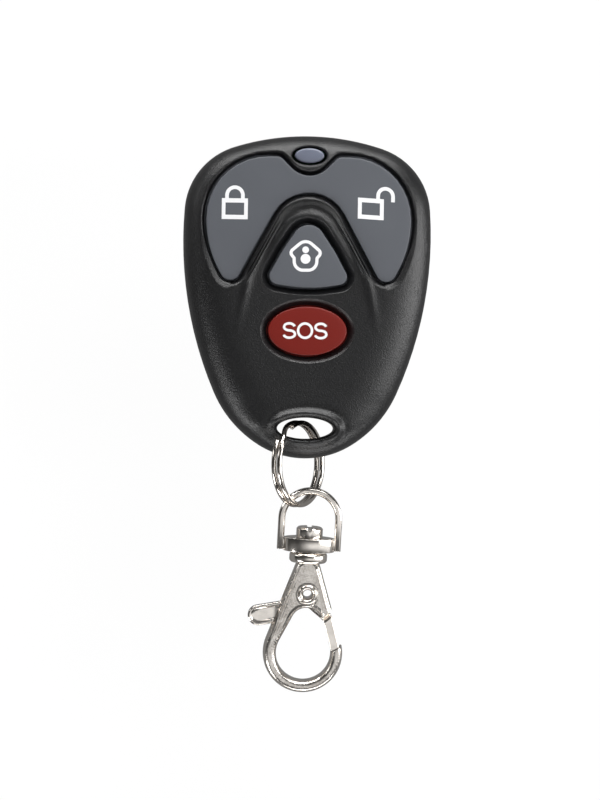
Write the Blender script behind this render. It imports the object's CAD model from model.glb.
# An alarm key fob, face up, with its split ring and its swivel clasp.
# Sizes are in millimetres, and become metres where a mesh is made.
import math

import bpy
import bmesh
import numpy as np
from mathutils import Matrix, Vector, kdtree
from mathutils.geometry import delaunay_2d_cdt


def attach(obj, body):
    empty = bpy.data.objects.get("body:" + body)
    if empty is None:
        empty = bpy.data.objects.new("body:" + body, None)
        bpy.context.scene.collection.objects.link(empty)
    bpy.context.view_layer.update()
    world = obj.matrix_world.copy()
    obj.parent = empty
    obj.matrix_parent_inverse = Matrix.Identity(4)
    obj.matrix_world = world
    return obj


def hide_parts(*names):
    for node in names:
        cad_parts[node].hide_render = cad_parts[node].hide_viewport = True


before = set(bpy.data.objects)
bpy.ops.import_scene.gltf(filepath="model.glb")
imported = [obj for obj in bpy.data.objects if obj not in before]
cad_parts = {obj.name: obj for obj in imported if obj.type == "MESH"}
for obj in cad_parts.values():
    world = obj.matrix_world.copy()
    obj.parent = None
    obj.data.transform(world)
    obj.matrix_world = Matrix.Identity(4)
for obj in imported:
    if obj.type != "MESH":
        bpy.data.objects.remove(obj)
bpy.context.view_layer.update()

# Studio: a white table under large soft lamps, seen from straight above and a little from the
# left. A bright strip crosses the dark room overhead and fades to the left, so that the metal
# shows bands.
MM = 0.001
scene = bpy.context.scene
scene.view_settings.view_transform = "Standard"

view_centre = Vector((-0.9, -19.0, 6.0)) * MM
view_height = 148.0 * MM
camera_distance, sensor_h = 2.2, 24.0
sideways, roll = math.radians(2.6), math.radians(0.8)
back = Vector((-math.sin(sideways), 0, math.cos(sideways)))
right = Vector((math.cos(sideways), 0, math.sin(sideways)))
up = Vector((0, 1, 0))
turned_right = right * math.cos(roll) + up * math.sin(roll)
turned_up = up * math.cos(roll) - right * math.sin(roll)
camera = bpy.data.objects.new("camera", bpy.data.cameras.new("camera"))
scene.collection.objects.link(camera)
camera.matrix_world = Matrix.Translation(view_centre + back * camera_distance) @ Matrix(
    (turned_right, turned_up, back)).transposed().to_4x4()
camera.data.sensor_fit = "VERTICAL"
camera.data.sensor_height = sensor_h
camera.data.lens = sensor_h * camera_distance / view_height
camera.data.clip_start = 0.01
scene.camera = camera


def softbox(name, place, size, power):
    lamp = bpy.data.lights.new(name, "AREA")
    lamp.shape = "RECTANGLE"
    lamp.size, lamp.size_y = size
    lamp.energy = power
    holder = bpy.data.objects.new(name, lamp)
    holder.location = place
    aim = view_centre - Vector(place)
    holder.rotation_euler = aim.to_track_quat("-Z", "Y").to_euler()
    scene.collection.objects.link(holder)


softbox("lamp_key", (0.16, 0.36, 0.38), (0.36, 0.20), 1.4)
softbox("lamp_far_low", (-0.05, 0.62, 0.16), (0.90, 0.20), 5.4)
softbox("lamp_right", (0.57, -0.02, 0.22), (0.22, 0.80), 3.5)
softbox("lamp_left_low", (-0.55, 0.20, 0.14), (0.12, 0.30), 0.3)
softbox("lamp_near_low", (0.15, -0.62, 0.17), (0.80, 0.18), 2.4)
softbox("lamp_near_left", (-0.36, -0.34, 0.20), (0.20, 0.16), 1.1)


def node_in(tree, kind, settings=None, **inputs):
    """Adds a node, with its settings, and its inputs by name or _number as values or links."""
    made = tree.nodes.new(kind if "Node" in kind else "ShaderNode" + kind)
    for key, value in (settings or {}).items():
        setattr(made, key, value)
    for key, value in inputs.items():
        socket = made.inputs[int(key[1:])] if key[0] == "_" else made.inputs[key.replace("_", " ")]
        if isinstance(value, bpy.types.NodeSocket):
            tree.links.new(value, socket)
        else:
            socket.default_value = value
    return made


world = bpy.data.worlds.new("studio")
scene.world = world
world.use_nodes = True
tree = world.node_tree
tree.nodes.clear()
ray = node_in(tree, "LightPath")
way = node_in(tree, "TexCoord").outputs["Generated"]
# a dim room, brighter overhead and a little to the upper right
slant, room_dim, room_bright = (0.36, 0.16, 1.0), 0.03, 0.12
tipped = node_in(tree, "VectorMath", {"operation": "DOT_PRODUCT"}, _0=way, _1=slant)
room = node_in(tree, "MapRange", From_Min=0.55, From_Max=1.05, To_Min=room_dim,
               To_Max=room_bright, Value=tipped.outputs["Value"])
# the bright strip, from its soft edge to its core, and how much of it is left on the left
strip_y, strip_edge, strip_core, strip_light, strip_left = -0.26, 0.17, 0.06, 0.86, 0.08
axes = node_in(tree, "SeparateXYZ", Vector=way)
strip = node_in(tree, "Math", {"operation": "ADD"}, _0=axes.outputs["Y"], _1=-strip_y)
strip = node_in(tree, "Math", {"operation": "ABSOLUTE"}, _0=strip.outputs[0])
strip = node_in(tree, "MapRange", From_Min=strip_edge, From_Max=strip_core, To_Min=0.0,
                To_Max=strip_light, Value=strip.outputs[0])
fade = node_in(tree, "MapRange", From_Min=-0.45, From_Max=0.1, To_Min=strip_left, To_Max=1.0,
               Value=axes.outputs["X"])
light = node_in(tree, "Math", {"operation": "MULTIPLY_ADD"}, _0=strip.outputs["Result"],
                _1=fade.outputs["Result"], _2=room.outputs["Result"])
shown = node_in(tree, "Mix", {"data_type": "FLOAT"}, _0=ray.outputs["Is Camera Ray"],
                _2=light.outputs[0], _3=1.0)
sky = node_in(tree, "Background", Color=(1, 1, 1, 1), Strength=shown.outputs[0])
tree.links.new(sky.outputs[0], node_in(tree, "OutputWorld").inputs[0])

# the table lies lower than the clasp hangs at the end of the ring's swing
table_z, table_half = -36.0, 2.0
# of the table's white, what is its own glow, and what is left of that glow in reflections
glow_share, glow_mirrored = 0.9, 0.14
floor_mesh = bpy.data.meshes.new("table")
floor_mesh.from_pydata([(x * table_half, y * table_half, table_z * MM)
                        for x, y in ((-1, -1), (1, -1), (1, 1), (-1, 1))], [], [(0, 1, 2, 3)])
floor = bpy.data.objects.new("table", floor_mesh)
scene.collection.objects.link(floor)
floor_mesh.materials.append(bpy.data.materials.new("white_table"))
floor_mesh.materials[0].use_nodes = True
tree = floor_mesh.materials[0].node_tree
tree.nodes.clear()
ray = node_in(tree, "LightPath")
seen = node_in(tree, "Math", {"operation": "MAXIMUM"}, _0=ray.outputs["Is Camera Ray"],
               _1=ray.outputs["Is Glossy Ray"])
seen = node_in(tree, "Math", {"operation": "MAXIMUM"}, _0=seen.outputs[0],
               _1=ray.outputs["Is Transmission Ray"])
share = node_in(tree, "Math", {"operation": "MULTIPLY"}, _0=seen.outputs[0], _1=glow_share)
mirrored = node_in(tree, "MapRange", Value=ray.outputs["Is Glossy Ray"], To_Min=1.0,
                   To_Max=glow_mirrored)
paper = node_in(tree, "BsdfDiffuse", Color=(0.88, 0.88, 0.88, 1))
glow = node_in(tree, "Emission", Color=(1, 1, 1, 1), Strength=mirrored.outputs["Result"])
both = node_in(tree, "MixShader", _0=share.outputs[0], _1=paper.outputs[0], _2=glow.outputs[0])
tree.links.new(both.outputs[0], node_in(tree, "OutputMaterial").inputs[0])

# Front shell: black moulded plastic with a fine spark texture, domed to a soft border. A ridge
# arches over the home key and fades out beside the alarm key, each key sits in its own funnel,
# and a bead runs round the keyring hole.
parting_z, front_z, ceiling_z = 5.4, 12.5, 10.4
fob_w, fob_h = 45.8, 59.6
wall, bulkhead_y, bulkhead_bow, bulkhead_half = 1.6, -20.6, 0.4, 17.0
key_gap, window_gap = 0.35, 0.05
# a fine groove runs round the case at the parting line, between two thin lips
groove_w, groove_half, lip_half = 0.13, 0.12, 0.16
# the tangent arcs of the outline, from the top round the right side to the keyring end
joint_angles = np.radians([90, 71.8, 4.3, -23.6, -58, -90])
top_r, shoulder_r, flank_r, end_r = 43.5, 12.9, 21.3, 15.9
cosines = np.cos(joint_angles)
side_r = ((top_r - shoulder_r) * cosines[1] + shoulder_r * cosines[2] - flank_r * cosines[3]
          + (flank_r - end_r) * cosines[4]) / (cosines[2] - cosines[3])
arc_radii = [top_r, shoulder_r, side_r, flank_r, end_r]


def direction(angle):
    return np.array((np.cos(angle), np.sin(angle)))


arc_centres = [np.array((0.0, -top_r))]
for k in range(1, 5):
    step = (arc_radii[k - 1] - arc_radii[k]) * direction(joint_angles[k])
    arc_centres.append(arc_centres[-1] + step)
raw_w = 2 * (arc_centres[2][0] + side_r)
raw_h = end_r - arc_centres[4][1]


def case_outline(inset, steps=12):
    """Five tangent arcs on each side, counterclockwise from the keyring end."""
    half = [arc_centres[k] + (arc_radii[k] - inset) * direction(angle)
            for k in range(4, -1, -1)
            for angle in np.linspace(joint_angles[k + 1], joint_angles[k], steps, endpoint=False)]
    half.append(np.array((0.0, -inset)))
    half = np.array(half)
    left = half[-2:0:-1] * (-1, 1)
    return (np.vstack((half, left)) + (0, raw_h / 2)) * (fob_w / raw_w, fob_h / raw_h)


def case_inside(inset):
    """The outline of the hollow, cut off by the bowed bulkhead before the keyring hole."""
    loop = case_outline(inset)
    bow = bulkhead_bow * (1 - (loop[:, 0] / bulkhead_half) ** 2)
    loop[:, 1] = np.maximum(loop[:, 1], bulkhead_y - bow)
    return loop


def ellipse(a, b, y=0.0, steps=64):
    angles = np.linspace(0, 2 * np.pi, steps, endpoint=False)
    return np.stack((a * np.cos(angles), b * np.sin(angles) + y), axis=1)


def grown(corners, t, least_r=0.2):
    """Corners (x, y, radius), counterclockwise, moved outwards by t."""
    out = []
    for k, (x, y, r) in enumerate(corners):
        p = np.array((x, y))
        d1 = p - corners[k - 1][:2]
        d2 = np.array(corners[(k + 1) % len(corners)][:2]) - p
        d1, d2 = d1 / np.hypot(*d1), d2 / np.hypot(*d2)
        n1, n2 = np.array((d1[1], -d1[0])), np.array((d2[1], -d2[0]))
        q = p + t * (n1 + n2) / (1 + n1 @ n2)
        bends_in = d1[0] * d2[1] - d1[1] * d2[0] > 0
        out.append((*q, max(least_r, r + (t if bends_in else -t))))
    return out


def rounded(corners, steps=9):
    """Loop through corners (x, y, radius), with an arc at each of them."""
    out = []
    for k, (x, y, r) in enumerate(corners):
        p = np.array((x, y))
        u1 = np.array(corners[k - 1][:2]) - p
        u2 = np.array(corners[(k + 1) % len(corners)][:2]) - p
        u1, u2 = u1 / np.hypot(*u1), u2 / np.hypot(*u2)
        half = math.acos(u1 @ u2) / 2
        middle = p + (u1 + u2) / np.hypot(*(u1 + u2)) * r / math.sin(half)
        start = p + u1 * r / math.tan(half) - middle
        end = p + u2 * r / math.tan(half) - middle
        first = math.atan2(start[1], start[0])
        turn = (math.pi - 2 * half) * np.sign(start[0] * end[1] - start[1] * end[0])
        out += [middle + r * direction(first + turn * s / steps) for s in range(steps + 1)]
    return np.array(out)


def within(points, loop):
    """True for the points inside a closed loop."""
    x, y = points[:, :1], points[:, 1:]
    a, b = loop, np.roll(loop, -1, axis=0)
    crosses = (a[:, 1] > y) != (b[:, 1] > y)
    run = np.where(a[:, 1] == b[:, 1], 1.0, b[:, 1] - a[:, 1])
    return (crosses & (x < (b[:, 0] - a[:, 0]) * (y - a[:, 1]) / run + a[:, 0])).sum(1) % 2 == 1


def near(points, line, closed=True):
    """Distance of each point from a line of points."""
    ends = np.roll(line, -1, axis=0) if closed else line[1:]
    best = np.full(len(points), np.inf)
    for p, q in zip(line, ends):
        d = q - p
        t = np.clip((points - p) @ d / max(d @ d, 1e-12), 0, 1)
        best = np.minimum(best, np.hypot(*(points - p - t[:, None] * d).T))
    return best


def smooth(low, high, x):
    """Rises softly from 0 at low to 1 at high."""
    t = np.clip((x - low) / (high - low), 0, 1)
    return t * t * (3 - 2 * t)


def slope(away, width):
    """Falls evenly from 1 at an edge to 0 at some width from it."""
    return np.clip(1 - away / width, 0, 1)


def hump(away, crest, width):
    """A soft crest at some distance from an edge."""
    return np.exp(-((away - crest) / width) ** 2)


def plate(name, loops, keep, spacing, top, under, place=Matrix()):
    """Closed solid between two heights over the area that keep says, meshed along the loops."""
    row_share, loop_share, merged = 0.866, 0.55, 1e-5
    points, edges = [], []
    for loop in loops:
        first, n = len(points), len(loop)
        points += [Vector(p) for p in loop]
        edges += [(first + k, first + (k + 1) % n) for k in range(n)]
    tree = kdtree.KDTree(len(points))
    for k, p in enumerate(points):
        tree.insert((*p, 0), k)
    tree.balance()
    low, high = np.min(np.vstack(loops), axis=0), np.max(np.vstack(loops), axis=0)
    rows = np.arange(low[1], high[1], spacing * row_share)
    grid = np.array([(x + spacing / 2 * (j % 2), y) for j, y in enumerate(rows)
                     for x in np.arange(low[0], high[0], spacing)])
    points += [Vector(p) for p in grid[keep(grid)]
               if tree.find((*p, 0))[2] > spacing * loop_share]
    flat, _, faces, *_ = delaunay_2d_cdt(points, edges, [], 0, merged)
    xy, faces = np.array([p[:] for p in flat]), np.array(faces)
    faces = faces[keep(xy[faces].mean(axis=1))]
    used, faces = np.unique(faces, return_inverse=True)
    xy, faces = xy[used], faces.reshape(-1, 3)
    a, b, c = (xy[faces[:, k]] for k in range(3))
    clockwise = (b - a)[:, 0] * (c - a)[:, 1] - (b - a)[:, 1] * (c - a)[:, 0] < 0
    faces[clockwise] = faces[clockwise][:, ::-1]
    n = len(xy)
    pairs = {(int(f[k]), int(f[(k + 1) % 3])) for f in faces for k in range(3)}
    rim = [(p, p + n, q + n, q) for p, q in sorted(pairs) if (q, p) not in pairs]
    solid = np.vstack((np.column_stack((xy, top(xy))), np.column_stack((xy, under(xy)))))
    return mesh_piece(name, solid, faces.tolist() + (faces[:, ::-1] + n).tolist() + rim, place)


def mesh_piece(name, points, faces, place=Matrix(), sharp=38):
    """Object from points in millimetres, smooth but for its sharp edges."""
    mesh = bpy.data.meshes.new(name)
    mesh.from_pydata([(place @ Vector(p)) * MM for p in points], [], faces)
    mesh.validate()
    mesh.shade_smooth()
    mesh.set_sharp_from_angle(angle=math.radians(sharp))
    piece = bpy.data.objects.new(name, mesh)
    scene.collection.objects.link(piece)
    return piece


def dress(piece, finish, body, slot, *nodes):
    """Gives a piece its material, its body, its slot and the CAD nodes that it stands for."""
    piece.data.materials.clear()
    piece.data.materials.append(finish)
    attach(piece, body)
    if nodes:
        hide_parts(*nodes)


# the texture of the mould: fine pits of one size, and broad cloudy patches of gloss
moulded = bpy.data.node_groups.new("moulded_skin", "ShaderNodeTree")
moulded.interface.new_socket("Grain Count", in_out="INPUT", socket_type="NodeSocketFloat")
moulded.interface.new_socket("Patch Count", in_out="INPUT", socket_type="NodeSocketFloat")
for output in ("Pits", "Patches"):
    moulded.interface.new_socket(output, in_out="OUTPUT", socket_type="NodeSocketFloat")
given = moulded.nodes.new("NodeGroupInput")
result = moulded.nodes.new("NodeGroupOutput")
place = node_in(moulded, "TexCoord")
pits = node_in(moulded, "TexNoise", Vector=place.outputs["Object"], Detail=2.0, Roughness=0.6,
               Scale=given.outputs["Grain Count"])
patches = node_in(moulded, "TexNoise", Vector=place.outputs["Object"], Detail=3.0,
                  Scale=given.outputs["Patch Count"])
moulded.links.new(pits.outputs[0], result.inputs["Pits"])
moulded.links.new(patches.outputs[0], result.inputs["Patches"])


def plastic(name, colour, rough, grain, depth, spread=0.18, **sockets):
    """Moulded plastic: colour and gloss vary a little, and the pits are bumped."""
    patch_count, gloss_spread, pit_strength, specular = 160.0, 0.06, 0.6, 0.3
    made = bpy.data.materials.new(name)
    made.use_nodes = True
    tree = made.node_tree
    skin = tree.nodes.new("ShaderNodeGroup")
    skin.node_tree = moulded
    skin.inputs["Grain Count"].default_value = grain
    skin.inputs["Patch Count"].default_value = patch_count
    shade = node_in(tree, "Mix", {"data_type": "RGBA"}, _0=skin.outputs["Patches"],
                    _6=(*(c * (1 - spread) for c in colour), 1),
                    _7=(*(c * (1 + spread) for c in colour), 1))
    gloss = node_in(tree, "MapRange", Value=skin.outputs["Pits"], From_Min=0.3, From_Max=0.7,
                    To_Min=rough - gloss_spread, To_Max=rough + gloss_spread)
    bump = node_in(tree, "Bump", Height=skin.outputs["Pits"], Strength=pit_strength,
                   Distance=depth * MM)
    shader = tree.nodes["Principled BSDF"]
    shader.inputs["Specular IOR Level"].default_value = specular
    tree.links.new(shade.outputs[2], shader.inputs["Base Color"])
    tree.links.new(gloss.outputs["Result"], shader.inputs["Roughness"])
    tree.links.new(bump.outputs[0], shader.inputs["Normal"])
    for key, value in sockets.items():
        shader.inputs[key.replace("_", " ")].default_value = value
    return made


# the openings: corners as x, y and radius, and ellipses by their half axes
rocker_half = [(14.42, 0.8, 1.9), (18.9, 9.3, 20), (18.9, 25.85, 11.4), (5.4, 25.85, 1.3)]
rocker_corners = (rocker_half + [(0, 20.45, 4.708)]
                  + [(-x, y, r) for x, y, r in rocker_half[::-1]] + [(0, 27.358, 7.4)])
home_half = [(7.98, 2.677, 1.5), (4.869, 8.407, 20)]
home_corners = ([(0, 1.4, 28)] + home_half + [(0, 15.7, 3)]
                + [(-x, y, r) for x, y, r in home_half[::-1]])
alarm_a, alarm_b, alarm_y = 7.25, 4.5, -6.25
window_a, window_b, window_y = 3.17, 1.67, 26.1
hole_a, hole_b, hole_y = 5.3, 1.95, -24.2


def rocker_loop(t):
    return rounded(grown(rocker_corners, t))


def home_loop(t):
    return rounded(grown(home_corners, t), 14)


def alarm_loop(t):
    return ellipse(alarm_a + t, alarm_b + t, alarm_y, 72)


def window_loop(t):
    return ellipse(window_a + t, window_b + t, window_y)


def hole_loop(t):
    return ellipse(hole_a + t, hole_b + t, hole_y, 80)


case_edge = case_outline(0, 24)
cavity = case_inside(wall + 0.05)
ridge_half = [(0, 18.3), (1.8, 18.2), (3.45, 17.6), (5.0, 16.5), (6.4, 15.0), (8.2, 11.9),
              (9.8, 8.0), (10.9, 4.2), (11.7, 0.5), (12.4, -3.0), (13.0, -6.5)]
ridge = np.array([(-x, y) for x, y in ridge_half[:0:-1]] + ridge_half)
rocker_hole, home_hole = rocker_loop(key_gap), home_loop(key_gap)
alarm_hole, window_hole = alarm_loop(key_gap), window_loop(window_gap)
ring_hole = hole_loop(0)
front_holes = (rocker_hole, home_hole, alarm_hole, window_hole, ring_hole)


def front_area(p):
    kept = within(p, case_edge)
    for hole in front_holes:
        kept &= ~within(p, hole)
    return kept


def front_top(p):
    x, y = p.T
    # a dome, flatter round the keyring hole, and low in front of the hole, where the ring swings
    dome_run, flat_run = 9.5, 3.3
    web = smooth(-23.4, -25.6, y) * smooth(-10.0, -5.5, x) * smooth(5.5, 2.4, x)
    inset = near(p, case_edge) / (dome_run - flat_run * smooth(-19.0, -25.0, y) * (1 - web))
    dome = (1 - (1 - np.clip(inset, 0, 1)) ** 2.5) ** (1 / 3)
    z = parting_z + (front_z - parting_z) * dome
    # the ridge: steep towards the rocker key, easy and then hollow towards the home key
    ridge_h, ridge_in, ridge_out, hollow_h = 0.5, 1.2, 0.95, 0.28
    inner = within(p, ridge)
    away = near(p, ridge, closed=False)
    narrowing = 0.55 + 0.45 * smooth(3.0, 9.0, y)
    z += (ridge_h * smooth(-8.0, 6.0, y)
          * hump(away / narrowing, 0, np.where(inner, ridge_in, ridge_out)))
    z -= hollow_h * smooth(2.0, 12.0, y) * inner * hump(away, 1.9, 0.8)
    # a chamfer round the rocker key, larger at its lobes, and a lip above the home key
    rocker_away, home_away = near(p, rocker_hole), near(p, home_hole)
    lobe = smooth(14.0, 5.0, y) * (np.abs(x) > 15.5 - 0.55 * y)
    chamfer, home_lip = 0.85 + 0.3 * lobe, 0.35
    z -= (0.42 + 0.08 * lobe) * chamfer * slope(rocker_away, chamfer)
    z += home_lip * smooth(2.0, 11.0, y) * hump(home_away, 1.6, 0.8)
    # the funnels, each with its width, depth and bend
    for away, width, depth, bend in ((home_away, 1.1, 1.45, 1.0),
                                     (near(p, alarm_hole), 1.15, 1.2, 1.05),
                                     (rocker_away, 0.5 - 0.35 * lobe, 1.1 - 0.7 * lobe, 1.0),
                                     (near(p, window_hole), 0.4, 0.35, 1.8)):
        z -= depth * slope(away, width) ** bend
    # the bead round the keyring hole: a slope down to the hole, a crest and a fine groove, all
    # of it lower where the ring swings
    bead_h, fine_groove, left_drop = 0.55, 0.16, 0.7
    away = near(p, ring_hole)
    left_end = smooth(-2.8, -4.8, x) * smooth(-22.6, -24.6, y)
    web = np.maximum(web, left_end)
    z += (bead_h - 0.5 * web) * hump(away, 0.9, 0.55) - fine_groove * hump(away, 2.05, 0.4)
    z -= (0.5 + 0.5 * web) * slope(away, 0.5 + 0.3 * web) ** 2
    z -= left_drop * left_end * smooth(2.6, 0.4, away)
    return np.maximum(z, parting_z + lip_half)


def front_under(p):
    skin = 0.3
    z = np.where(within(p, cavity), np.minimum(ceiling_z, front_top(p) - skin), parting_z)
    return np.where(near(p, case_edge) < groove_w, parting_z + groove_half, z)


# rings of the mesh, at these distances from each edge
case_loops = [case_outline(t) for t in (0.004, 0.02, 0.055, 0.12, 0.14, 0.21, 0.34, 0.5, 0.7, 0.95,
                                        1.25, 1.9, 2.3, 2.75)]
case_loops += [case_inside(wall), case_inside(wall + 0.1)]
front_loops = [case_edge, *front_holes, *case_loops]
for loop, gap, rings in (
        (rocker_loop, key_gap, (0.1, 0.2, 0.35, 0.4, 0.45, 0.6, 0.8, 0.85, 0.9, 1.1, 1.3, 1.5)),
        (home_loop, key_gap, (0.35, 0.7, 0.98, 1.05, 1.12, 1.35, 1.7, 2.1)),
        (alarm_loop, key_gap, (0.4, 0.8, 1.07, 1.15, 1.23, 1.5)),
        (window_loop, window_gap, (0.1, 0.2, 0.3, 0.4, 0.55)),
        (hole_loop, 0, (0.06, 0.14, 0.24, 0.36, 0.46, 0.55, 0.65, 0.75, 0.85, 0.95, 1.05, 1.2,
                        1.4, 1.6, 1.85, 2.1))):
    front_loops += [loop(gap + t) for t in rings]
case_plastic = plastic("black_case_plastic", (0.004, 0.004, 0.0045), 0.38, grain=3800.0,
                       depth=0.12, Specular_IOR_Level=0.58)
front = plate("front_cover", front_loops, front_area, 0.55, front_top, front_under)
dress(front, case_plastic, "fob", "case", "front_shell")

# Rear shell: the same plastic, flat on its back, with a groove at the parting line, a scoop
# under the keyring hole and two sunk holes for the screws that hold the case together.
screw_places = ((-12.8, -12.0), (12.8, -12.0))
screw_hole_r, boss_r, screw_sink = 2.05, 2.8, 1.8
back_run, back_wall, wall_step = 2.6, 1.4, 0.02
scoop_start, scoop_run, scoop_depth = -17.6, 8.4, 3.8
hole_flare_h, hole_flare_w = 0.8, 0.6


def circle(centre, r, steps=40):
    return ellipse(r, r, 0, steps) + centre


def rear_area(p):
    return within(p, case_edge) & ~within(p, ring_hole)


def rear_top(p):
    z = np.where(within(p, cavity), back_wall, parting_z)
    for centre in screw_places:
        z = np.where(np.hypot(*(p - centre).T) < boss_r - wall_step, parting_z, z)
    return np.where(near(p, case_edge) < groove_w, parting_z - groove_half, z)


def rear_under(p):
    rim = np.clip(near(p, case_edge) / back_run, 0, 1)
    z = parting_z * (1 - (1 - (1 - rim) ** 2) ** (1 / 2.4))
    z = np.maximum(z, scoop_depth * smooth(0, 1, (scoop_start - p[:, 1]) / scoop_run))
    z += hole_flare_h * slope(near(p, ring_hole), hole_flare_w) ** 2
    for centre in screw_places:
        z = np.where(np.hypot(*(p - centre).T) < screw_hole_r - wall_step, screw_sink, z)
    return np.minimum(z, parting_z - lip_half)


rear_loops = [case_edge, ring_hole, *case_loops]
rear_loops += [hole_loop(t) for t in (0.1, 0.25, 0.4, 0.6)]
rear_loops += [circle(c, r) for c in screw_places
               for r in (screw_hole_r - 2 * wall_step, screw_hole_r,
                         boss_r - 2 * wall_step, boss_r)]
rear = plate("rear_cover", rear_loops, rear_area, 0.8, rear_top, rear_under)
dress(rear, case_plastic, "fob", "case", "rear_shell")

# Keys: grey and red moulded caps with a small rounded edge, each with a flange under the front
# face that keeps it in. The wide lock and unlock key rocks on pins, the other two push straight.
flange, edge_r = 0.9, 0.24
rocker_flange_z, rocker_flange_t = 9.353, 0.6
push_flange_z, push_flange_t = 9.48, 0.8
# height of each crown, and how fast it falls away
rocker_h, rocker_bend = 12.2, 500
home_h, home_bend, home_middle = 12.8, 260, 7
alarm_h, alarm_fall = 12.6, 0.18


def key_cap(name, loop, crown, flange_z, flange_t):
    """A cap with a crowned top and a rounded edge, on a flange."""
    shape = loop(0.01)

    def top(p):
        fall = np.clip(edge_r - near(p, shape), 0, edge_r)
        return np.where(within(p, shape), crown(p) - edge_r + np.sqrt(edge_r ** 2 - fall ** 2),
                        flange_z + flange_t)

    rings = [loop(t) for t in (flange, 0.02, 0, -0.02, -0.05, -0.1, -0.16, -edge_r)]
    return plate(name, rings, lambda p: within(p, rings[0]), 0.8, top,
                 lambda p: np.full(len(p), flange_z))


key_grey = plastic("grey_key_plastic", (0.096, 0.102, 0.115), 0.5, grain=5200.0, depth=0.012,
                   spread=0.06)
key_red = plastic("red_key_plastic", (0.154, 0.0085, 0.0045), 0.45, grain=5200.0, depth=0.012,
                  spread=0.08)


def rocker_crown(p):
    return rocker_h - p[:, 0] ** 2 / rocker_bend


def home_crown(p):
    return home_h - (p[:, 0] ** 2 + (p[:, 1] - home_middle) ** 2) / home_bend


def alarm_crown(p):
    out = (p[:, 0] / alarm_a) ** 2 + ((p[:, 1] - alarm_y) / alarm_b) ** 2
    return alarm_h - out * alarm_fall


rocker = key_cap("rocker_cap", rocker_loop, rocker_crown, rocker_flange_z, rocker_flange_t)
dress(rocker, key_grey, "rocker", "key_grey", "lock_unlock_key")
home = key_cap("home_cap", home_loop, home_crown, push_flange_z, push_flange_t)
dress(home, key_grey, "home", "key_grey", "home_key")
alarm = key_cap("alarm_cap", alarm_loop, alarm_crown, push_flange_z, push_flange_t)
dress(alarm, key_red, "alarm", "key_red", "alarm_key")

# Legends: white ink printed on the keys, a closed and an open padlock, a house with a person
# in it and the alarm word. Each stands a few hundredths of a millimetre proud.
ink_h, ink_root = 0.03, 0.15


def stroke(line, width, closed=False):
    """Loops of a band along a line of points."""
    line = np.array(line, dtype=float)
    if closed:
        d = np.roll(line, -1, axis=0) - np.roll(line, 1, axis=0)
    else:
        d = np.gradient(line, axis=0)
    d /= np.hypot(*d.T)[:, None]
    side = width / 2 * np.stack((d[:, 1], -d[:, 0]), axis=1)
    if closed:
        return [line + side, line - side]
    return [np.vstack((line + side, (line - side)[::-1]))]


def arc(centre, a, b, start, end, steps=20):
    """Points of an ellipse from one angle to another."""
    angles = np.radians(np.linspace(start, end, steps + 1))
    return [(centre[0] + a * math.cos(t), centre[1] + b * math.sin(t)) for t in angles]


def frame_of(x0, x1, y0, y1, side, end):
    """A rectangle and its smaller window."""
    return [np.array(((x0, y0), (x1, y0), (x1, y1), (x0, y1))),
            np.array(((x0 + side, y0 + end), (x1 - side, y0 + end),
                      (x1 - side, y1 - end), (x0 + side, y1 - end)))]


def sloped(strokes, x, fall):
    """Strokes whose level lines fall to the right, with the upright ones left upright."""
    return [[loop - np.outer(loop[:, 0] - x, (0, fall)) for loop in loops] for loops in strokes]


def legend(name, strokes, crown, body):
    """Ink over the area of some strokes, each of them an outline with or without a window."""
    def keep(p):
        kept = np.zeros(len(p), dtype=bool)
        for loops in strokes:
            kept |= np.sum([within(p, loop) for loop in loops], axis=0) % 2 == 1
        return kept

    piece = plate(name, [loop for loops in strokes for loop in loops], keep, 0.6,
                  lambda p: crown(p) + ink_h, lambda p: crown(p) - ink_root)
    dress(piece, ink, body, None)


ink = plastic("white_ink", (0.82, 0.82, 0.83), 0.5, grain=6000.0, depth=0.004, spread=0.03)
# the padlocks: their middles, half their width, their height above and below, and their lines
shut_x, shut_y, open_x, open_y = -13.7, 16.12, 11.42, 16.45
lock_half, lock_up, shut_down, open_down = 2.4, 1.93, 1.93, 1.95
lock_bar, shut_side, open_side, shackle_w = 0.8, 0.68, 0.72, 0.68
shackle_foot, shackle_y, shut_r, open_fall = 1.5, 2.5, 1.46, 0.055
open_start, open_middle, open_stop, open_a, open_b = 1.3, 2.7, 4.08, 1.38, 1.4
lock_body = frame_of(shut_x - lock_half, shut_x + lock_half, shut_y - shut_down, shut_y + lock_up,
                     shut_side, lock_bar)
shackle = ([(shut_x - shut_r, shut_y + shackle_foot)]
           + arc((shut_x, shut_y + shackle_y), shut_r, shut_r, 180, 0)
           + [(shut_x + shut_r, shut_y + shackle_foot)])
legend("closed_padlock", [lock_body, stroke(shackle, shackle_w)], rocker_crown, "rocker")
lock_body = frame_of(open_x - lock_half, open_x + lock_half, open_y - open_down, open_y + lock_up,
                     open_side, lock_bar)
shackle = ([(open_x + open_start, open_y + shackle_foot)]
           + arc((open_x + open_middle, open_y + shackle_y), open_a, open_b, 180, 0)
           + [(open_x + open_stop, open_y + shackle_foot)])
legend("open_padlock", sloped([lock_body, stroke(shackle, shackle_w)], open_x, open_fall),
       rocker_crown, "rocker")
house_x, house_w, head_y, head_r, torso_y, torso_r = -0.55, 0.58, 8.72, 0.62, 7.05, 0.92
house = [(2.0, 4.95, 1.6), (2.12, 7.2, 0.3), (3.0, 8.2, 0.75), (0.0, 10.75, 1.7)]
house = rounded([(house_x + x, y, r) for x, y, r in house]
                + [(house_x - x, y, r) for x, y, r in house[-2::-1]])
legend("house_with_person", [stroke(house, house_w, closed=True),
                             [circle((house_x, head_y), head_r, 28)],
                             [circle((house_x, torso_y), torso_r, 32)]], home_crown, "home")
word_x, word_y, letter_step, letter_w, half_s = -0.45, -6.2, 2.9, 0.46, 0.66


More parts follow.
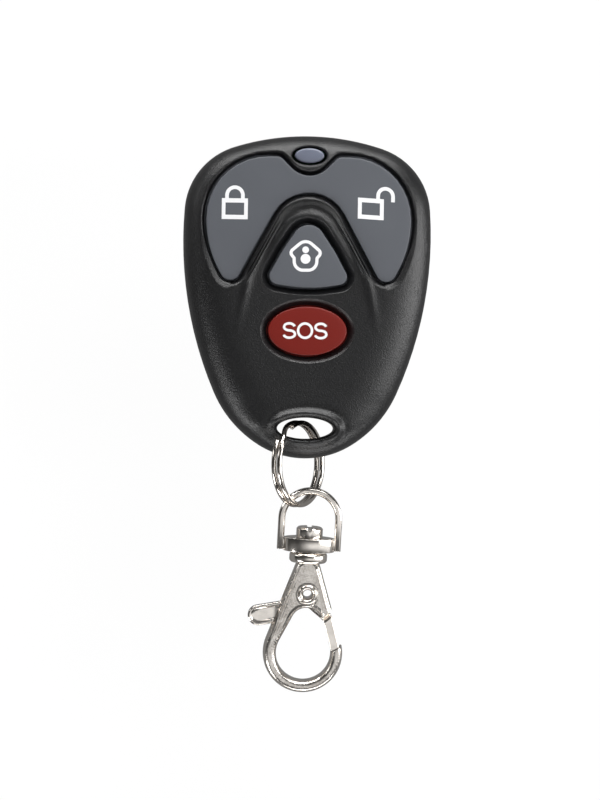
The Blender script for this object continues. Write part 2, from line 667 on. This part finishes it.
def letter_s(x, y):
    upper = arc((x, y + half_s), 0.97, 0.65, 10, 270)
    lower = arc((x, y - half_s), 1.05, 0.68, 90, -165)
    return stroke(upper + lower[1:], letter_w)


letter_o = stroke(arc((word_x, word_y), 1.28, 1.32, 0, 354, 59), letter_w, closed=True)
legend("alarm_word", [letter_s(word_x - letter_step, word_y),
                      letter_s(word_x + letter_step, word_y), letter_o], alarm_crown, "alarm")

# Indicator window: a smoked lens of clear plastic pushed up into its hole from behind, a little
# smaller than the hole, so that a dark line shows round it.
lens_a, lens_b, lens_edge_r = 2.72, 1.38, 0.3
lens_h, lens_bend, lens_foot = 11.65, 60, 7.4


def lens_loop(t):
    return ellipse(lens_a + t, lens_b + t, window_y)


def lens_top(p):
    fall = np.clip(lens_edge_r - near(p, lens_loop(0)), 0, lens_edge_r)
    crown = lens_h - (p[:, 0] ** 2 + (p[:, 1] - window_y) ** 2) / lens_bend
    return crown - lens_edge_r + np.sqrt(lens_edge_r ** 2 - fall ** 2)


lens_rings = [lens_loop(t) for t in (0, -0.03, -0.08, -0.17, -lens_edge_r)]
lens = plate("indicator_lens", lens_rings, lambda p: within(p, lens_rings[0]), 0.4, lens_top,
             lambda p: np.full(len(p), lens_foot))
smoked = plastic("smoked_lens", (0.15, 0.165, 0.215), 0.22, grain=900.0, depth=0.004, spread=0.14,
                 Coat_Weight=0.6, Coat_Roughness=0.08)
dress(lens, smoked, "fob", "window", "indicator_window")

# Screws: two cross-head screws of plated steel, sunk in the holes of the back. They draw the
# shells together.
metal = bpy.data.node_groups.new("plated_metal", "ShaderNodeTree")
metal.interface.new_socket("Grain Count", in_out="INPUT", socket_type="NodeSocketFloat")
for output in ("Lumps", "Smudges"):
    metal.interface.new_socket(output, in_out="OUTPUT", socket_type="NodeSocketFloat")
given = metal.nodes.new("NodeGroupInput")
result = metal.nodes.new("NodeGroupOutput")
place = node_in(metal, "TexCoord")
lumps = node_in(metal, "TexNoise", Vector=place.outputs["Object"], Detail=2.0,
                Scale=given.outputs["Grain Count"])
smudges = node_in(metal, "TexNoise", Vector=place.outputs["Object"], Detail=4.0, Scale=420.0)
metal.links.new(lumps.outputs[0], result.inputs["Lumps"])
metal.links.new(smudges.outputs[0], result.inputs["Smudges"])


def plating(name, bright, dull, smoothest, roughest, lump_count, lump_depth):
    """Plated metal: duller and rougher in smudges, with the waviness of the casting."""
    made = bpy.data.materials.new(name)
    made.use_nodes = True
    tree = made.node_tree
    skin = tree.nodes.new("ShaderNodeGroup")
    skin.node_tree = metal
    skin.inputs["Grain Count"].default_value = lump_count
    shade = node_in(tree, "Mix", {"data_type": "RGBA"}, _0=skin.outputs["Smudges"],
                    _6=(*bright, 1), _7=(*dull, 1))
    gloss = node_in(tree, "MapRange", Value=skin.outputs["Smudges"], From_Min=0.3, From_Max=0.7,
                    To_Min=smoothest, To_Max=roughest)
    bump = node_in(tree, "Bump", Height=skin.outputs["Lumps"], Strength=1.0,
                   Distance=lump_depth * MM)
    shader = tree.nodes["Principled BSDF"]
    shader.inputs["Metallic"].default_value = 1.0
    tree.links.new(shade.outputs[2], shader.inputs["Base Color"])
    tree.links.new(gloss.outputs["Result"], shader.inputs["Roughness"])
    tree.links.new(bump.outputs[0], shader.inputs["Normal"])
    return made


def softened(name, node, width):
    """Copy of a CAD node with its doubles merged, its flats joined and its edges rounded."""
    merged, flat_angle, edge_angle = 0.002, 0.8, 35
    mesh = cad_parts[node].data.copy()
    mesh.name = name
    piece = bpy.data.objects.new(name, mesh)
    scene.collection.objects.link(piece)
    shape = bmesh.new()
    shape.from_mesh(mesh)
    bmesh.ops.remove_doubles(shape, verts=shape.verts, dist=merged * MM)
    bmesh.ops.dissolve_limit(shape, angle_limit=math.radians(flat_angle), verts=shape.verts,
                             edges=shape.edges)
    shape.to_mesh(mesh)
    shape.free()
    rounding = piece.modifiers.new("rounding", "BEVEL")
    rounding.width = width * MM
    rounding.segments = 3
    rounding.limit_method = "ANGLE"
    rounding.angle_limit = math.radians(edge_angle)
    rounding.use_clamp_overlap = True
    return settled(piece)


def settled(piece, sharp=40):
    """Turns a piece with modifiers into a plain mesh."""
    graph = bpy.context.evaluated_depsgraph_get()
    result = bpy.data.meshes.new_from_object(piece.evaluated_get(graph))
    piece.modifiers.clear()
    piece.data = result
    result.name = piece.name
    result.shade_smooth()
    result.set_sharp_from_angle(angle=math.radians(sharp))
    return piece


screw_steel = plating("plated_screw_steel", (0.62, 0.62, 0.63), (0.45, 0.45, 0.46), 0.2, 0.38,
                      1500.0, 0.004)
screws = softened("case_screw_heads", "case_screws", 0.12)
dress(screws, screw_steel, "fob", "steel", "case_screws")

# Split ring: two turns of flattened, nickel plated spring wire with a step between them, its
# ends cut off. It hangs through the keyring hole and turns its left side to the viewer.
ring_middle, wire_edge_r, wire_edge_steps = (-1.15, -30.8, 7.4), 0.42, 8
ring_tree = bpy.data.node_groups.new("split_ring_wire", "GeometryNodeTree")
for label, value in (("Diameter", 16.1), ("Wire Width", 0.94), ("Wire Depth", 0.9),
                     ("Turn Pitch", 1.18), ("Step Angle", 20.0), ("End Angle", 15.0),
                     ("Cut Angle", 132.0), ("Yaw", 56.0)):
    socket = ring_tree.interface.new_socket(label, in_out="INPUT", socket_type="NodeSocketFloat")
    socket.default_value = value
ring_tree.interface.new_socket("Middle", in_out="INPUT", socket_type="NodeSocketVector")
ring_tree.interface.new_socket("Finish", in_out="INPUT", socket_type="NodeSocketMaterial")
ring_tree.interface.new_socket("Wire", in_out="OUTPUT", socket_type="NodeSocketGeometry")


def ring_node(kind, settings=None, **inputs):
    return node_in(ring_tree, kind, settings, **inputs)


def figure(operation, *values):
    """A Math node's result."""
    return ring_node("ShaderNodeMath", {"operation": operation},
                     **{f"_{k}": value for k, value in enumerate(values)}).outputs[0]


ring_in = ring_tree.nodes.new("NodeGroupInput").outputs
point_count = 361
points = ring_node("GeometryNodeMeshLine", Count=point_count)
share = figure("DIVIDE", ring_node("GeometryNodeInputIndex").outputs[0], point_count - 1.0)
run = figure("MULTIPLY_ADD", ring_in["End Angle"], -2.0, 720.0)
degrees = figure("MULTIPLY_ADD", share, run, ring_in["End Angle"])
lift = ring_node("ShaderNodeMapRange", {"interpolation_type": "SMOOTHSTEP"}, Value=degrees,
                 From_Min=figure("SUBTRACT", 360.0, ring_in["Step Angle"]),
                 From_Max=figure("ADD", 360.0, ring_in["Step Angle"]), To_Min=-0.5, To_Max=0.5)
across = figure("SUBTRACT", ring_in["Diameter"], ring_in["Wire Width"])
radius = figure("MULTIPLY", across, 0.5 * MM)
around = figure("RADIANS", figure("ADD", degrees, ring_in["Cut Angle"]))
pitch = figure("MULTIPLY", ring_in["Turn Pitch"], MM)
spot = ring_node("ShaderNodeCombineXYZ", X=figure("MULTIPLY", radius, figure("COSINE", around)),
                 Y=figure("MULTIPLY", radius, figure("SINE", around)),
                 Z=figure("MULTIPLY", pitch, lift.outputs[0]))
path = ring_node("GeometryNodeSetPosition", Geometry=points.outputs[0], Position=spot.outputs[0])
path = ring_node("GeometryNodeMeshToCurve", Mesh=path.outputs[0])
path = ring_node("GeometryNodeSetCurveNormal", {"mode": "Z_UP"}, Curve=path.outputs[0])
section = ring_node("GeometryNodeCurvePrimitiveQuadrilateral",
                    Width=figure("MULTIPLY", ring_in["Wire Width"], MM),
                    Height=figure("MULTIPLY", ring_in["Wire Depth"], MM))
section = ring_node("GeometryNodeFilletCurve", {"mode": "POLY"}, Curve=section.outputs[0],
                    Radius=wire_edge_r * MM, Count=wire_edge_steps)
wire = ring_node("GeometryNodeCurveToMesh", Curve=path.outputs[0],
                 Profile_Curve=section.outputs[0], Fill_Caps=True)
turn = ring_node("ShaderNodeCombineXYZ", Y=figure("RADIANS", ring_in["Yaw"]))
wire = ring_node("GeometryNodeTransform", Geometry=wire.outputs[0], Rotation=turn.outputs[0],
                 Translation=ring_in["Middle"])
wire = ring_node("GeometryNodeRealizeInstances", Geometry=wire.outputs[0])
wire = ring_node("GeometryNodeSetMaterial", Geometry=wire.outputs[0], Material=ring_in["Finish"])
ring_tree.links.new(wire.outputs[0], ring_tree.nodes.new("NodeGroupOutput").inputs[0])

wire_nickel = plating("plated_spring_wire", (0.76, 0.715, 0.67), (0.60, 0.555, 0.51), 0.1, 0.16,
                      500.0, 0.0)
ring = bpy.data.objects.new("split_ring_wire", bpy.data.meshes.new("split_ring_wire"))
scene.collection.objects.link(ring)
winding = ring.modifiers.new("winding", "NODES")
winding.node_group = ring_tree
sockets = {item.name: item.identifier for item in ring_tree.interface.items_tree
           if item.in_out == "INPUT"}
winding[sockets["Middle"]] = [c * MM for c in ring_middle]
winding[sockets["Finish"]] = wire_nickel
dress(settled(ring), wire_nickel, "ring", "nickel", "split_ring")

# Swivel: a bent bail with a drum between its feet, and a slotted rivet through the drum on
# which the hook turns. Cast zinc, nickel plated.
nickel = plating("nickel_plating", (0.93, 0.885, 0.835), (0.78, 0.725, 0.665), 0.12, 0.22,
                 700.0, 0.006)
bail = softened("bail_and_drum", "swivel_bail", 0.22)
dress(bail, nickel, "bail", "nickel", "swivel_bail")
swivel = softened("slotted_rivet", "swivel_rivet", 0.18)
dress(swivel, nickel, "hook", "nickel", "swivel_rivet")

# Hook: cast zinc, nickel plated, with a half-round bow, a raised rim round its hammered upper
# face, a collar under the drum and a slot for the lever.
clasp_spot, clasp_turn, clasp_tilt, bail_run = (1.5, -35.15, 7.0), -2, 7.4, 12.0
clasp_place = (Matrix.Translation(clasp_spot)
               @ Matrix.Rotation(math.radians(clasp_turn), 4, "Z")
               @ Matrix.Rotation(math.radians(clasp_tilt), 4, "X")
               @ Matrix.Translation((0, -bail_run, 0)))
# the casting is a drop round a drop, each of two circles, with a gap for the gate
neck_c, neck_r, bow_c, bow_r = (0, -3.4), 2.45, (-0.1, -18.85), 7.35
mouth_c, mouth_r, opening_c, opening_r = (0.3, -13.25), 2.9, (0, -18.85), 5.05
pivot, pin_hole_r = np.array((0.2, -7.75)), 1.22
gap_near, gap_far = 5.2, 11.67
# half of its thickness, at the faces, at the edges and at the flat round the pivot
hook_t, hook_edge_t, pivot_t, face_drop = 2.2, 0.45, 2.1, 0.16
slot_half, slot_low, slot_high = 0.95, -14.0, -4.55


def capsule(c1, r1, c2, r2, steps=40):
    """Two circles and the lines that touch both."""
    c1, c2 = np.array(c1), np.array(c2)
    along = math.degrees(math.atan2(*(c2 - c1)[::-1]))
    spread = math.degrees(math.acos((r1 - r2) / np.hypot(*(c2 - c1))))
    return np.array(arc(c2, r2, r2, along - spread, along + spread, steps)
                    + arc(c1, r1, r1, along + spread, along + 360 - spread, steps))


def hook_rim(t):
    return capsule(neck_c, neck_r - t, bow_c, bow_r - t)


def hook_hole(t):
    return capsule(mouth_c, mouth_r + t, opening_c, opening_r + t)


gate_gap = np.array(arc(pivot, gap_near, gap_near, -70.5, -21.2)
                    + arc(pivot, gap_far, gap_far, -9.6, -81.1, 30))
pin_hole = circle(pivot, pin_hole_r)


def hook_area(p):
    kept = within(p, hook_rim(0))
    for hole in (hook_hole(0), gate_gap, pin_hole):
        kept &= ~within(p, hole)
    return kept


def hook_top(p):
    edge = np.minimum(near(p, hook_rim(0)), near(p, hook_hole(0)))
    body = smooth(-15.0, -11.0, p[:, 1])
    inset = np.clip(edge / (0.95 - 0.4 * body), 0, 1)
    z = hook_edge_t + (hook_t - hook_edge_t) * (1 - (1 - inset) ** 2.3) ** (1 / 2.3)
    z -= face_drop * smooth(0.6, 0.85, edge) * body
    from_pivot = np.hypot(*(p - pivot).T)
    return np.maximum(z, pivot_t * smooth(2.3, 2.05, from_pivot))


edge_rings = (0, 0.02, 0.07, 0.15, 0.27, 0.45, 0.65, 0.85, 1.05, 1.25)
hook_loops = [rim(t) for rim in (hook_rim, hook_hole) for t in edge_rings]
hook_loops += [gate_gap, pin_hole] + [circle(pivot, r) for r in (2.05, 2.18, 2.3)]
hook = plate("hook_casting", hook_loops, hook_area, 0.3, hook_top, lambda p: -hook_top(p),
             clasp_place)
cutter = mesh_piece("lever_slot", [(x, y, z) for x in (-15, 15) for y in (slot_low, slot_high)
                                   for z in (-slot_half, slot_half)],
                    [(0, 1, 3, 2), (4, 6, 7, 5), (0, 4, 5, 1), (2, 3, 7, 6), (0, 2, 6, 4),
                     (1, 5, 7, 3)], clasp_place)
slot_cut = hook.modifiers.new("slot", "BOOLEAN")
slot_cut.object = cutter
settled(hook)
bpy.data.objects.remove(cutter)
cast_nickel = plating("cast_nickel", (0.95, 0.905, 0.855), (0.74, 0.69, 0.63), 0.15, 0.27,
                      2600.0, 0.045)
dress(hook, cast_nickel, "hook", "nickel", "clasp_hook")


def turned(name, profile, place, steps=64):
    """Closed body turned about its Y axis from (radius, height) points."""
    n = len(profile)
    points = [(r * math.cos(2 * math.pi * k / steps), y, r * math.sin(2 * math.pi * k / steps))
              for k in range(steps) for r, y in profile]
    faces = []
    for k in range(steps):
        here, there = k * n, (k + 1) % steps * n
        for i in range(n):
            j = (i + 1) % n
            faces.append((here + i, here + j, there + j, there + i))
    piece = mesh_piece(name, points, faces, place)
    shape = bmesh.new()
    shape.from_mesh(piece.data)
    bmesh.ops.recalc_face_normals(shape, faces=shape.faces)
    shape.to_mesh(piece.data)
    shape.free()
    return piece


collar_r, collar_edge_r, collar_y, collar_flat, collar_bore = 3.5, 0.6, -0.98, 0.37, 1.35
collar_side = [(collar_r - collar_edge_r + collar_edge_r * math.cos(t),
                collar_y + s * collar_flat + collar_edge_r * math.sin(t))
               for s, angles in ((-1, (-90, -60, -30, 0)), (1, (0, 30, 60, 90)))
               for t in np.radians(angles)]
collar = turned("hook_collar", [(collar_bore, -1.95)] + collar_side + [(collar_bore, -0.01)],
                clasp_place)
dress(collar, nickel, "hook", "nickel")

# Gate: a lever on a tubular rivet, its thumb tab to the left and its gate closing the hook to
# the right, pushed shut by a small leaf spring in the slot.
tab_in, tab_end, tab_in_r, tab_r = (-4.158, -11.248), (-8.7, -12.25), 1.89, 1.9
gate_top, gate_end, gate_half_w = (4.15, -12.2), (6.0, -18.4), 0.8
lever_t, lever_edge_r, gate_t, gate_edge_r = 0.75, 0.3, 1.5, 0.16
gate_start, gate_stop, neck_sink, tab_sink = 6.25, 11.5, 0.7, 0.14


def tab_loop(t):
    return capsule(tab_in, tab_in_r - t, tab_end, tab_r - t)


def gate_loop(t):
    return capsule(gate_top, gate_half_w - t, gate_end, gate_half_w - t)


lever_loops = [capsule(pivot, 2.1, tab_in, 1.0), tab_loop(0), capsule(pivot, 1.9, gate_top, 0.9)]
bar_loop = gate_loop(0)
bar_ends = [circle(pivot, gate_start, 160), circle(pivot, gate_stop, 200)]


def bar(p, loops, half, round_r):
    """Height of a flat bar with rounded edges over the area of some loops."""
    depth = np.max([near(p, loop) * within(p, loop) for loop in loops], axis=0)
    fall = np.clip(round_r - depth, 0, round_r)
    return half - round_r + np.sqrt(round_r ** 2 - fall ** 2)


def lever_area(p):
    return np.any([within(p, loop) for loop in lever_loops], axis=0) & ~within(p, pin_hole)


def lever_top(p):
    # sunk a little on the thumb tab, and thin where it runs into the gate
    inset = near(p, lever_loops[1]) * within(p, lever_loops[1])
    neck = smooth(5.1, 6.2, np.hypot(*(p - pivot).T)) * (p[:, 0] > 0)
    z = bar(p, lever_loops, lever_t, lever_edge_r) * (1 - neck_sink * neck)
    return z - tab_sink * smooth(0.45, 0.8, inset) * smooth(-5.0, -5.8, p[:, 0])


def gate_area(p):
    return within(p, bar_loop) & ~within(p, bar_ends[0]) & within(p, bar_ends[1])


def gate_face(p):
    return bar(p, [bar_loop], gate_t, gate_edge_r)


tab_rings = [tab_loop(t) for t in (0.02, 0.07, 0.14, 0.22, 0.3, 0.45, 0.55, 0.65, 0.8)]
lever = plate("gate_and_tab", lever_loops + [pin_hole] + tab_rings, lever_area, 0.3, lever_top,
              lambda p: -lever_top(p), clasp_place)
dress(lever, nickel, "gate", "nickel", "gate_lever")
gate_rings = [gate_loop(t) for t in (0, 0.015, 0.05, 0.1, gate_edge_r)]
closer = plate("gate_bar", gate_rings + bar_ends, gate_area, 0.3, gate_face,
               lambda p: -gate_face(p), clasp_place)
dress(closer, nickel, "gate", "nickel")
roll_r, roll_w, roll_y, roll_h = 1.4, 0.42, 2.15, 0.4
rolled = [(roll_r + roll_w * math.cos(t), roll_y + roll_h * math.sin(t))
          for t in np.radians(range(0, 181, 20))]
rolled = [(1.19, 1.9)] + rolled + [(0.85, 1.8), (0.8, 1.3)]
rivet_place = (clasp_place @ Matrix.Translation((*pivot, 0))
               @ Matrix.Rotation(math.pi / 2, 4, "X"))
rivet = turned("tubular_rivet", [(r, -y) for r, y in rolled[::-1]] + rolled, rivet_place)
dress(rivet, nickel, "hook", "nickel", "gate_rivet")


def paint(node, finish):
    """Gives a CAD node that stays as it is its material."""
    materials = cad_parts[node].data.materials
    materials.clear()
    materials.append(finish)


paint("gate_spring", screw_steel)

# Inside: a green board with its chips, switches and plungers, and the coin cell in its clip
# under it. They are closed in by the shells.
board_green = plastic("board_varnish", (0.03, 0.16, 0.07), 0.35, grain=1800.0, depth=0.01)
chip_black = plastic("chip_black", (0.015, 0.015, 0.016), 0.5, grain=3500.0, depth=0.01)
chip_brown = plastic("chip_brown", (0.30, 0.20, 0.12), 0.45, grain=3500.0, depth=0.01)
pale_plastic = plastic("pale_plunger", (0.70, 0.66, 0.55), 0.45, grain=4000.0, depth=0.01,
                       spread=0.05)
diode_clear = plastic("diode_clear", (0.80, 0.78, 0.70), 0.2, grain=1500.0, depth=0.004,
                      spread=0.05)
cell_steel = plating("cell_steel", (0.72, 0.72, 0.73), (0.60, 0.60, 0.61), 0.15, 0.3, 2600.0, 0.004)
contact_brass = plating("contact_brass", (0.78, 0.58, 0.26), (0.62, 0.44, 0.18), 0.2, 0.35,
                        1800.0, 0.004)
for finish, nodes in ((board_green, ("circuit_board",)),
                      (chip_brown, ("chip_parts",)),
                      (chip_black, ("encoder_chip", "transmitter_transistor", "lock_switch",
                                    "unlock_switch", "home_switch", "alarm_switch")),
                      (pale_plastic, ("lock_plunger", "unlock_plunger", "home_plunger",
                                      "alarm_plunger")),
                      (diode_clear, ("indicator_diode",)),
                      (cell_steel, ("coin_cell", "cell_clip", "resonator_can")),
                      (contact_brass, ("cell_contact",))):
    for node in nodes:
        paint(node, finish)
